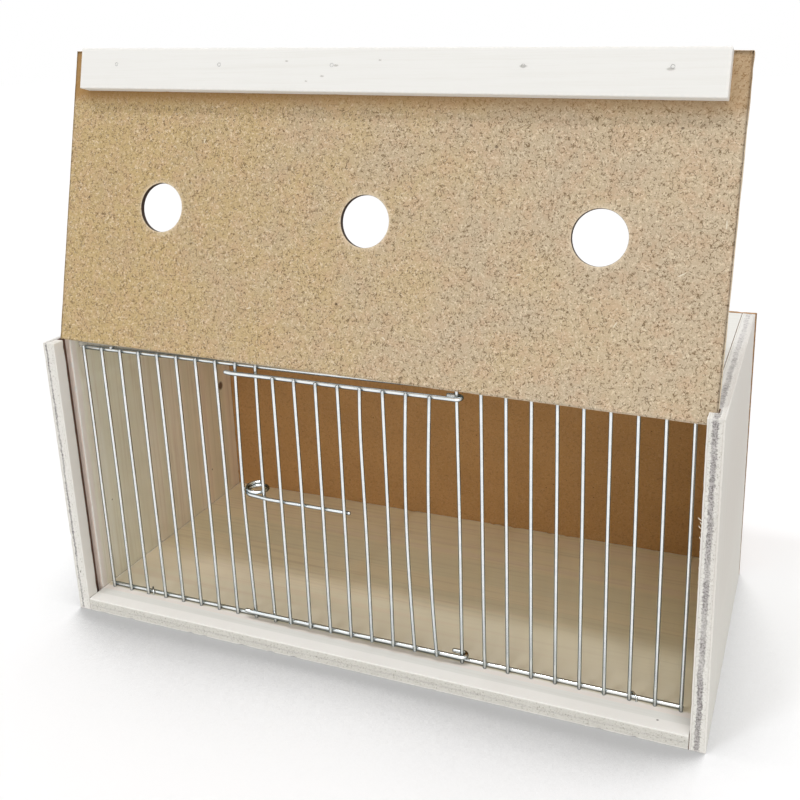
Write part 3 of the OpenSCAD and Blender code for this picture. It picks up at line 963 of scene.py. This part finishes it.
def onCoverAt(across, depth, up):
    # The place in millimetres of a mark drawn upright; across and up are in millimetres too
    return tuple(float(v) for v in onCover([(across * mm, depth, up * mm)])[0] / mm)


def cellBorder(left, right, low, high, across, upright):
    # The border of a rectangle, anticlockwise, with fixed numbers of points on its sides, closer
    # together near the corners as half a cosine wave has it
    u, v = ((1 - np.cos(np.pi * np.linspace(0, 1, count, endpoint=False))) / 2 for count in (across, upright))
    bottom = np.stack([left + u * (right - left), np.full(across, low)], 1)
    rightSide = np.stack([np.full(upright, right), low + v * (high - low)], 1)
    top = np.stack([right - u * (right - left), np.full(across, high)], 1)
    leftSide = np.stack([np.full(upright, left), high - v * (high - low)], 1)
    return np.concatenate([bottom, rightSide, top, leftSide])


def holedCell(border, centre):
    # Each point of the border is joined to the point of the hole that lies in its direction. The
    # section runs from the border in over the front, round the hole's eased rim, through the
    # wall, and out over the back to the border again.
    toBorder = border - centre
    way = toBorder / np.linalg.norm(toBorder, axis=1, keepdims=True)
    ease, thick, hole = cover["ease"], cover["thick"], cover["holeRadius"]
    blends = np.array([1.0, 0.97, 0.7, 0.4, 0.15, 0.04, 0.006])
    turn = np.linspace(0, np.pi / 2, 5)
    rimRadius = hole + ease * (1 - np.sin(turn))
    rimDepth = ease * (1 - np.cos(turn))
    rim = centre + (hole + ease) * way
    front = rim[None] + blends[:, None, None] * (border - rim)[None]
    bend = centre + rimRadius[:, None, None] * way[None]
    wall = centre + hole * way[None]
    flat = np.concatenate([front, bend, wall, bend[::-1], front[::-1]])
    depth = np.concatenate([np.zeros(7), rimDepth, [thick / 2], thick - rimDepth[::-1], np.full(7, thick)])
    frontEdge = [0, 0, 0, 0, 0, 0, 0.4, 1, 1, 0.6, 0.2, 0]
    # this mark covers the hole wall, which is painted dark: cut board and painted shade
    frontCut = [0, 0, 0, 0, 0, 0, 0, 0, 0.1, 0.5, 0.9, 1]
    edge = frontEdge + [0] + frontEdge[::-1]
    cut = frontCut + [1] + frontCut[::-1]
    points = np.empty((len(depth), len(border), 3))
    points[..., 0], points[..., 2] = flat[..., 0], flat[..., 1]
    points[..., 1] = depth[:, None] - thick / 2
    marks = np.stack([np.repeat(edge, len(border)), np.repeat(cut, len(border))], 1)
    return points.reshape(-1, 3), ringFaces(len(depth), len(border)), marks


def outerEdge(outline, outward, rng):
    # The plate's outline is carried round its edge: out and back along a quarter arc, across the
    # thickness and in again. Small dents follow the outline.
    ease, thick = cover["ease"], cover["thick"]
    turn = np.linspace(0, np.pi / 2, 5)
    out = np.concatenate([ease * np.sin(turn), ease * np.sin(turn[::-1])])
    depth = np.concatenate([ease * (1 - np.cos(turn)), thick - ease * (1 - np.cos(turn[::-1]))])
    dent = 1 - 0.35 * np.abs(roughRun(rng, len(outline), 1, 1))[:, 0]
    points = np.empty((len(out), len(outline), 3))
    moved = outline[None] + out[:, None, None] * (outward * dent[:, None])[None]
    points[..., 0], points[..., 2] = moved[..., 0], moved[..., 1]
    points[..., 1] = depth[:, None] - thick / 2
    edge = np.concatenate([[0], np.ones(len(out) - 2), [0]])
    marks = np.stack([np.repeat(edge, len(outline)), np.zeros(len(out) * len(outline))], 1)
    return points.reshape(-1, 3), ringFaces(len(out), len(outline)), marks


def makeCover(material):
    # Three cells, one round each air hole, and the outer edge, sewn into one closed plate
    half, ease = cover["width"] / 2, cover["ease"]
    centres = cover["holePlaces"]
    borders = [-half + ease, (centres[0] + centres[1]) / 2, (centres[1] + centres[2]) / 2, half - ease]
    low, high = ease, cover["height"] - ease
    across, upright = cover["pointsAcross"], cover["pointsUp"]
    cells = [cellBorder(borders[i], borders[i + 1], low, high, across, upright) for i in range(3)]
    parts = [holedCell(cell, np.array([centre, cover["holeRise"]])) for cell, centre in zip(cells, centres)]
    bottoms = [cell[:across] for cell in cells]
    tops = [cell[across + upright:2 * across + upright] for cell in cells[::-1]]
    rightEnd, leftEnd = cells[2][across:across + upright], cells[0][2 * across + upright:]
    outline = np.concatenate([*bottoms, rightEnd, *tops, leftEnd])
    outward = np.stack([(outline[:, 0] > borders[3] - 1e-9) * 1.0 - (outline[:, 0] < borders[0] + 1e-9),
                        (outline[:, 1] > high - 1e-9) * 1.0 - (outline[:, 1] < low + 1e-9)], 1)
    parts.append(outerEdge(outline, outward, np.random.default_rng(21)))
    points, faces = joinParts([part[:2] for part in parts])
    marks = np.concatenate([part[2] for part in parts])
    same = np.round(points / cover["sewWithin"])
    first, back = np.unique(same, axis=0, return_index=True, return_inverse=True)[1:]
    faces = [list(dict.fromkeys(back.ravel()[face].tolist())) for face in faces]
    faces = [face for face in faces if len(face) > 2]
    points = onCover(points[first])
    makePiece("front_cover_board", points, facingOut(points, faces), "cover", material,
              ["front_cover"], {"edge": marks[first, 0], "cut": marks[first, 1]})


def makeStrip(material):
    # A rectangle with softened corners is carried along the top of the cover's front
    rear, foot = -cover["thick"] / 2, cover["height"] - strip["height"]
    corners = boardCorners(rear - strip["thick"], foot, rear, cover["height"])
    start, stop = strip["shift"] - strip["length"] / 2, strip["shift"] + strip["length"] / 2
    points, faces, edge = carryBoard(corners, (1, 2, 0), start, stop, strip["ease"], 31,
                                     strip["chip"], strip["nick"], 4 * mm)
    points = onCover(points)
    makePiece("grip_strip_wood", points, facingOut(points, faces), "cover", material,
              ["grip_strip"], {"edge": edge})


# Small marks, each with its place across and up the cover and its radius in millimetres
coverFront = -cover["thick"] / 2
stripFront = coverFront - strip["thick"]
darkBits = [(71.5, 120.5, 0.9), (57.7, 130.4, 0.7), (-137.8, 71.5, 0.7), (-170.8, 83.4, 0.8),
            (127.8, 56.2, 0.6), (-8.1, 37.0, 0.8), (158.2, 131.7, 0.7)]
stripMarks = [(-14.3, 157.3, 0.9), (-21.8, 151.9, 0.7), (-42.9, 159.4, 0.6), (-30.8, 149.3, 0.5),
              (9.9, 160.0, 0.5), (83.8, 157.4, 1.2), (151.7, 156.4, 1.2)]
bitTint, markTint = colour(0.10, 0.06, 0.03), colour(0.30, 0.28, 0.25)
coverSpots = [(onCoverAt(x, coverFront, z), (r, r, r * 0.7), 0.45, 0.75, bitTint) for x, z, r in darkBits]
stripSpots = [(onCoverAt(x, stripFront, z), (r * 1.5, 0.6, r * 0.5), 0.4, 0.5, markTint)
              for x, z, r in stripMarks]
upCover = onCover([(0, 0, 1.0)])[0] - onCover([(0, 0, 0)])[0]
stripFoot = float(np.dot(onCover([(0, 0, cover["height"] - strip["height"])])[0], upCover)) / mm
# the band of painted shade under the grip strip: its way up the cover, and where it starts and is full
stripShadeLine = (tuple(float(v) for v in upCover), *(stripFoot - under for under in strip["stripShade"]))
makeCover(hardboardMaterial("hardboardCover", coverBoard, coverSpots, 1.0, stripShadeLine))
makeStrip(stripMaterial(stripSpots))

chips = {
    # each: place across and up the cover and length in millimetres, and angle in degrees
    "places": ((181.3, 89.8, 4.2, 92), (164.0, 66.1, 4.0, 30), (136.2, 40.7, 3.4, 60), (-60.0, 30.0, 3.0, 20),
               (20.0, 22.0, 2.6, 150), (-95.0, 118.0, 2.8, 75), (88.0, 60.0, 2.4, 10)),
    "width": 0.55 * mm,
    "proud": 0.08 * mm,
}


def makeCoverChips(material):
    # Slivers of pale wood pressed into the cover: each is a long ellipsoid, flattened on the face
    parts = []
    theta = np.linspace(0, 2 * np.pi, 14, endpoint=False)
    for x, z, length, angle in chips["places"]:
        share = np.linspace(-1, 1, 9)
        ahead = np.array([math.cos(math.radians(angle)), 0, math.sin(math.radians(angle))])
        across = np.array([-ahead[2], 0, ahead[0]])
        waist = np.sqrt(1 - share[1:-1] ** 2) * chips["width"] / 2
        spine = np.array([x * mm, -cover["thick"] / 2, z * mm]) + share[:, None] * ahead * length * mm / 2
        proud = waist / chips["width"] * 2 * chips["proud"]
        rings = spine[1:-1, None] + waist[:, None, None] * np.cos(theta)[None, :, None] * across
        rings = rings + proud[:, None, None] * np.sin(theta)[None, :, None] * np.array([0, 1, 0])
        points = onCover(np.concatenate([spine[:1], rings.reshape(-1, 3), spine[-1:]]))
        parts.append((points, facingOut(points, poleFaces(len(waist), len(theta)))))
    points, faces = joinParts(parts)
    makePiece("cover_chips", points, faces, "cover", material)


def paleChipMaterial():
    # Bleached splinters: pale wood with a little streaking
    material, _, shader, place = startMaterial("paleSplinter")
    grain = useGroup(woodGrain, {"Vector": place, "Stretch": (1.5, 1.5, 0.3)})
    base = blendColours(grain["Streaks"], colour(0.84, 0.79, 0.66), colour(0.72, 0.64, 0.50))
    finishMaterial(shader, {"Base Color": base, "Roughness": 0.7}, grain["Streaks"], 0.05 * mm, 0.5)
    return material


paleSplinter = paleChipMaterial()
makeCoverChips(paleSplinter)
print("Cover and strip made")


steel = metalMaterial("nailSteel", colour(0.56, 0.57, 0.57), colour(0.36, 0.36, 0.36), 0.34, 0.55,
                      colour(0.15, 0.15, 0.15))
fixings = {
    "pinRadius": 0.6 * mm, "pinLength": 25 * mm,
    "nailRadius": 0.8 * mm, "nailLength": 20 * mm, "headRadius": 1.7 * mm, "headThick": 0.6 * mm,
    "pinShares": (0.17, 0.52, 0.87),
    "sideNailShares": (0.35, 0.65),
    "hookHead": 0.75 * mm,
    "bradHead": 1.2 * mm, "bradHeadThick": 0.5 * mm, "bradShort": 0.8 * mm,
}


def pinProfile(radius, length):
    # From the struck end, a little dished, to a short point
    return [(0.05 * mm, 0), (0.05 * mm, radius * 0.45), (0, radius * 0.8), (0.06 * mm, radius),
            (0.4 * mm, radius), (length - 1.6 * radius, radius), (length - 0.5 * radius, radius * 0.45),
            (length, 0)]


def headedProfile(head, headThick, radius, length):
    # A flat head with a softened rim, a shank and a point
    return [(0.03 * mm, 0), (0.03 * mm, head * 0.5), (0, head * 0.62), (0, head * 0.88), (0.10 * mm, head),
            (headThick * 0.7, head), (headThick, head * 0.75), (headThick + 0.1 * mm, radius),
            (length - 2 * radius, radius), (length - 0.6 * radius, radius * 0.45), (length, 0)]


def makeFixings(name, body, parts, material):
    # The closed surfaces of one node's pins or nails become one piece of metal
    points, faces = joinParts(parts)
    marks = {"weld": np.zeros(len(points))}
    makePiece(name + "_steel", points, faces, body, material, [name], marks)


def makeSidePins():
    # Pins into the edges of the floor and the roof; on the right they follow the thinner side
    struckEnd = boxOf("side_pins")[1][0]
    sideLow, sideHigh = boxOf("left_side")
    depth = sideHigh[1] - sideLow[1]
    profile = pinProfile(fixings["pinRadius"], fixings["pinLength"])
    parts = []
    for hand in (-1, 1):
        for share in fixings["pinShares"]:
            for level in (case["ply"] / 2, sideHigh[2] - case["ply"] / 2):
                thinner = case["rearTaper"] * share * level / sideHigh[2] * (hand > 0)
                start = (hand * (struckEnd - thinner), sideLow[1] + share * depth, level)
                parts.append(turnAlong(profile, start, (-hand, 0, 0), 14))
    makeFixings("side_pins", "case", parts, steel)


def makeBackNails():
    # Five nails into the floor, five into the roof and two into each side
    headsAt = boxOf("back_nails")[1][1]
    half, height = boxOf("back_panel")[1][[0, 2]]
    edge = case["ply"] / 2
    profile = headedProfile(fixings["headRadius"], fixings["headThick"], fixings["nailRadius"],
                            fixings["nailLength"])
    places = [(k * (half - 4 * edge) / 2, level) for k in range(-2, 3) for level in (edge, height - edge)]
    shares = fixings["sideNailShares"]
    places += [(hand * (half - edge), share * height) for hand in (-1, 1) for share in shares]
    parts = [turnAlong(profile, (x, headsAt, z), (0, -1, 0), 24) for x, z in places]
    makeFixings("back_nails", "case", parts, steel)


def makeHookPins():
    # Three headed pins over the top rail: one at each end and one halfway
    low, high = boxOf("hook_pins")
    level = (low[2] + high[2]) / 2
    profile = headedProfile(fixings["hookHead"], fixings["headThick"], fixings["pinRadius"], high[1] - low[1])
    first, last = low[0] + fixings["headRadius"], high[0] - fixings["headRadius"]
    parts = [turnAlong(profile, (x, low[1], level), (0, 1, 0), 24) for x in (first, (first + last) / 2, last)]
    makeFixings("hook_pins", "case", parts, zinc)


def makeBrads():
    # Brads through the strip into the cover, drawn upright and then placed on it
    start = -cover["thick"] / 2 - strip["thick"]
    length = strip["thick"] + cover["thick"] - fixings["bradShort"]
    profile = headedProfile(fixings["bradHead"], fixings["bradHeadThick"], fixings["pinRadius"], length)
    parts = []
    for share in strip["bradShares"]:
        x = strip["shift"] + share * strip["length"]
        points, faces = turnAlong(profile, (x, start, cover["height"] - strip["bradDrop"]), (0, 1, 0), 18)
        parts.append((onCover(points), faces))
    makeFixings("strip_brads", "cover", parts, steel)


staples = {
    "radius": 0.5 * mm,
    "skew": math.radians(40),
    "hold": 6 * mm,
    "gap": 0.1 * mm,
    "besideWire": 2.2 * mm,
}


def makeStaples():
    # Two legs and a crown with bent corners, carried as one line over the bottom rail
    railLow, railHigh = boxOf("grille_bottom_rail")
    rail = (railLow + railHigh) / 2
    railRadius = (railHigh[2] - railLow[2]) / 2
    floorTop = boxOf("floor_panel")[1][2]
    radius = staples["radius"]
    half = (railRadius + radius + staples["gap"]) / math.cos(staples["skew"])
    top = rail[2] + railRadius + radius + staples["gap"]
    bend = 2 * radius
    foot = floorTop - staples["hold"]
    turn = np.linspace(0, np.pi / 2, 8)
    oneSide = np.stack([half - bend + bend * np.cos(turn), top - bend + bend * np.sin(turn)], 1)
    leg = np.stack([np.full(12, half), np.linspace(foot, top - bend, 12, endpoint=False)], 1)
    right = np.concatenate([leg, oneSide])
    line = np.concatenate([right, right[::-1] * (-1, 1)])
    across = np.array([-math.sin(staples["skew"]), math.cos(staples["skew"]), 0])
    square = np.array([math.cos(staples["skew"]), math.sin(staples["skew"]), 0])
    parts = []
    for name in (fixedWires[2], fixedWires[-3]):
        x = middleOf(name)[0] + staples["besideWire"]
        path = np.array([x, rail[1], 0]) + line[:, :1] * across + line[:, 1:] * np.array([0, 0, 1.0])
        parts.append(carryCircle(path, radius, square, 12, 0.5 * mm, 0.8)[:2])
    makeFixings("grille_staples", "case", parts, zinc)


makeSidePins()
makeBackNails()
makeHookPins()
makeBrads()
makeStaples()
print("Fixings made")


splinters = {
    # each: height of its root on the inner front edge, length and angle from level, in mm and degrees
    "innerEdge": ((124.0, 1.9, 150), (121.9, 1.3, 128), (119.8, 1.6, 140), (117.0, 1.0, 112),
                  (114.2, 1.4, 124), (110.6, 1.0, 104), (107.2, 0.9, 118), (103.4, 1.2, 108),
                  (99.0, 0.9, 122), (95.2, 1.3, 106), (91.4, 1.0, 116), (87.6, 0.8, 102)),
    "rootDepth": 0.5 * mm,
    "curl": 0.35 * mm,
    "width": 0.42 * mm,
}


def makeSplinters():
    # Thin curved fibres that are rooted in the right side's inner front edge and lean inwards from
    # it, each a circle carried along a line that bows as a half sine and tapers to its tips
    parts = []
    low = boxOf("right_side")[0]
    root = np.array([low[0] + splinters["rootDepth"], low[1] + splinters["rootDepth"], 0])
    for z, length, angle in splinters["innerEdge"]:
        share = np.linspace(0, 1, 14)
        way = np.array([math.cos(math.radians(angle)), 0, math.sin(math.radians(angle))])
        reach = length * mm + splinters["rootDepth"]
        path = root + (0, 0, z * mm) + share[:, None] * way * reach
        path[:, 2] -= splinters["curl"] * np.sin(np.pi * share)
        parts.append(carryCircle(path, splinters["width"] / 2, (0, 1, 0), 8, 0.3 * mm, 4.0)[:2])
    points, faces = joinParts(parts)
    makePiece("edge_splinters", points, faces, "case", paleSplinter)


makeSplinters()
print("Splinters made")


ground = {
    "size": 6.0,
    "matt": 0.80,
    "glow": (0.175, 0.182, 0.188),
    "contactReach": 220 * mm,
    "contactAxis": (0.0, 0.6, 0.8),
    "contactRange": (0.38, 0.74),
    "contactShade": 0.50,
}
light = {
    "surround": 0.42,
    "surroundColour": (1.0, 0.93, 0.84),
    "lamps": {
        # name: (way towards the lamp, strength, width in degrees, colour)
        "key_left": ((-0.23, -0.332, 0.943), 0.42, 7.0, (1.0, 1.03, 1.10)),
        "key_middle": ((0.04, -0.332, 0.943), 0.36, 7.0, (1.0, 1.03, 1.10)),
        "key_right": ((0.31, -0.332, 0.943), 0.26, 7.0, (1.0, 1.03, 1.10)),
        "overhead": ((0.0, 0.18, 1.0), 0.77, 60.0, (1.0, 1.03, 1.10)),
        "front": ((0.35, -0.80, 0.48), 0.75, 45.0, (1.0, 0.97, 0.92)),
    },
}


def plainRays(tree):
    # The ray outputs, and 1 where the camera, metal or glass looks
    rays = addNode(tree, "ShaderNodeLightPath").outputs
    mirrored = sums("MAXIMUM", rays["Is Glossy Ray"], rays["Is Transmission Ray"])
    return rays, sums("MAXIMUM", rays["Is Camera Ray"], mirrored)


def makeGround():
    # A plain white sheet under the object. What the camera, metal and glass see of it glows a
    # little, so that it reads as white and keeps the object's shadow. It is shaded softly where
    # the object stands over it, most in front, because the sky is looked for towards the rear.
    # Light that it throws back on the object keeps the plain matt colour.
    size = ground["size"]
    mesh = bpy.data.meshes.new("ground")
    corners = [(x, y, 0) for x, y in boardCorners(-size, -size, size, size)]
    mesh.from_pydata(corners, [], [(0, 1, 2, 3)])
    material, tree = emptyMaterial("whiteGround")
    axis = addNode(tree, "ShaderNodeCombineXYZ", dict(enumerate(ground["contactAxis"]))).outputs[0]
    reach = ground["contactReach"]
    sky = addNode(tree, "ShaderNodeAmbientOcclusion", {"Distance": reach, "Normal": axis}).outputs["AO"]
    shade = rise(sky, *ground["contactRange"], ground["contactShade"], 1.0)
    rays, seen = plainRays(tree)
    share = sums("MAXIMUM", shade, rays["Is Diffuse Ray"])
    black = colour(0, 0, 0)
    white = blendColours(share, black, colour(*[ground["matt"]] * 3))
    matt = follow("ShaderNodeBsdfDiffuse", {"Color": white})
    added = blendColours(shade, black, colour(*ground["glow"]))
    glow = follow("ShaderNodeEmission", {"Color": added, "Strength": seen})
    both = follow("ShaderNodeAddShader", {0: matt.outputs[0], 1: glow.outputs[0]})
    follow("ShaderNodeOutputMaterial", {0: both.outputs[0]})
    mesh.materials.append(material)
    plane = bpy.data.objects.new("ground", mesh)
    bpy.context.scene.collection.objects.link(plane)


def makeLight():
    # The camera sees a white surround, and so do metal and glass. Matt surfaces get its even warm
    # light, and suns of several widths stand for the lamps.
    world = bpy.data.worlds.new("surround")
    bpy.context.scene.world = world
    world.use_nodes = True
    tree = world.node_tree
    tree.nodes.clear()
    plain = plainRays(tree)[1]
    strength = follow("ShaderNodeMix", {0: plain, 2: light["surround"], 3: 1.0}).outputs[0]
    tint = blendColours(plain, colour(*light["surroundColour"]), colour(1, 1, 1))
    glow = follow("ShaderNodeBackground", {"Color": tint, "Strength": strength})
    follow("ShaderNodeOutputWorld", {0: glow.outputs[0]})
    for name, (toward, power, width, tone) in light["lamps"].items():
        data = bpy.data.lights.new(name, "SUN")
        data.energy = power
        data.angle = math.radians(width)
        data.color = tone
        lamp = bpy.data.objects.new(name, data)
        lamp.rotation_mode = "QUATERNION"
        lamp.rotation_quaternion = (-Vector(toward)).to_track_quat("-Z", "Y")
        bpy.context.scene.collection.objects.link(lamp)


camera = {
    "place": (0.22326, -0.50854, 0.34167),
    "azimuth": math.radians(22.65),
    "elevation": math.radians(16.28),
    "roll": math.radians(-1.75),
    "focalPixels": 990.1,
    "middlePixel": (421.83, 318.14),
    "imagePixels": 800,
}


def makeCamera():
    # Azimuth turns the camera to its left, elevation tips it down and roll leans the picture
    azimuth, elevation, roll = camera["azimuth"], camera["elevation"], camera["roll"]
    forward = math.cos(elevation)
    ahead = np.array([-math.sin(azimuth) * forward, math.cos(azimuth) * forward, -math.sin(elevation)])
    level = np.array([math.cos(azimuth), math.sin(azimuth), 0])
    above = np.cross(level, ahead)
    right = math.cos(roll) * level + math.sin(roll) * above
    up = np.cross(right, ahead)
    data = bpy.data.cameras.new("camera")
    seen = bpy.data.objects.new("camera", data)
    rows = [[right[k], up[k], -ahead[k], camera["place"][k]] for k in range(3)]
    seen.matrix_world = Matrix(rows + [[0, 0, 0, 1]])
    data.sensor_fit = "HORIZONTAL"
    data.sensor_width = 36.0
    pixels = camera["imagePixels"]
    data.lens = camera["focalPixels"] / pixels * data.sensor_width
    data.shift_x = (pixels / 2 - camera["middlePixel"][0]) / pixels
    data.shift_y = (camera["middlePixel"][1] - pixels / 2) / pixels
    data.clip_start, data.clip_end = 0.01, 50
    bpy.context.scene.collection.objects.link(seen)
    bpy.context.scene.camera = seen


makeGround()
makeLight()
makeCamera()
bpy.context.scene.view_settings.view_transform = "Standard"
print("Scene ready")
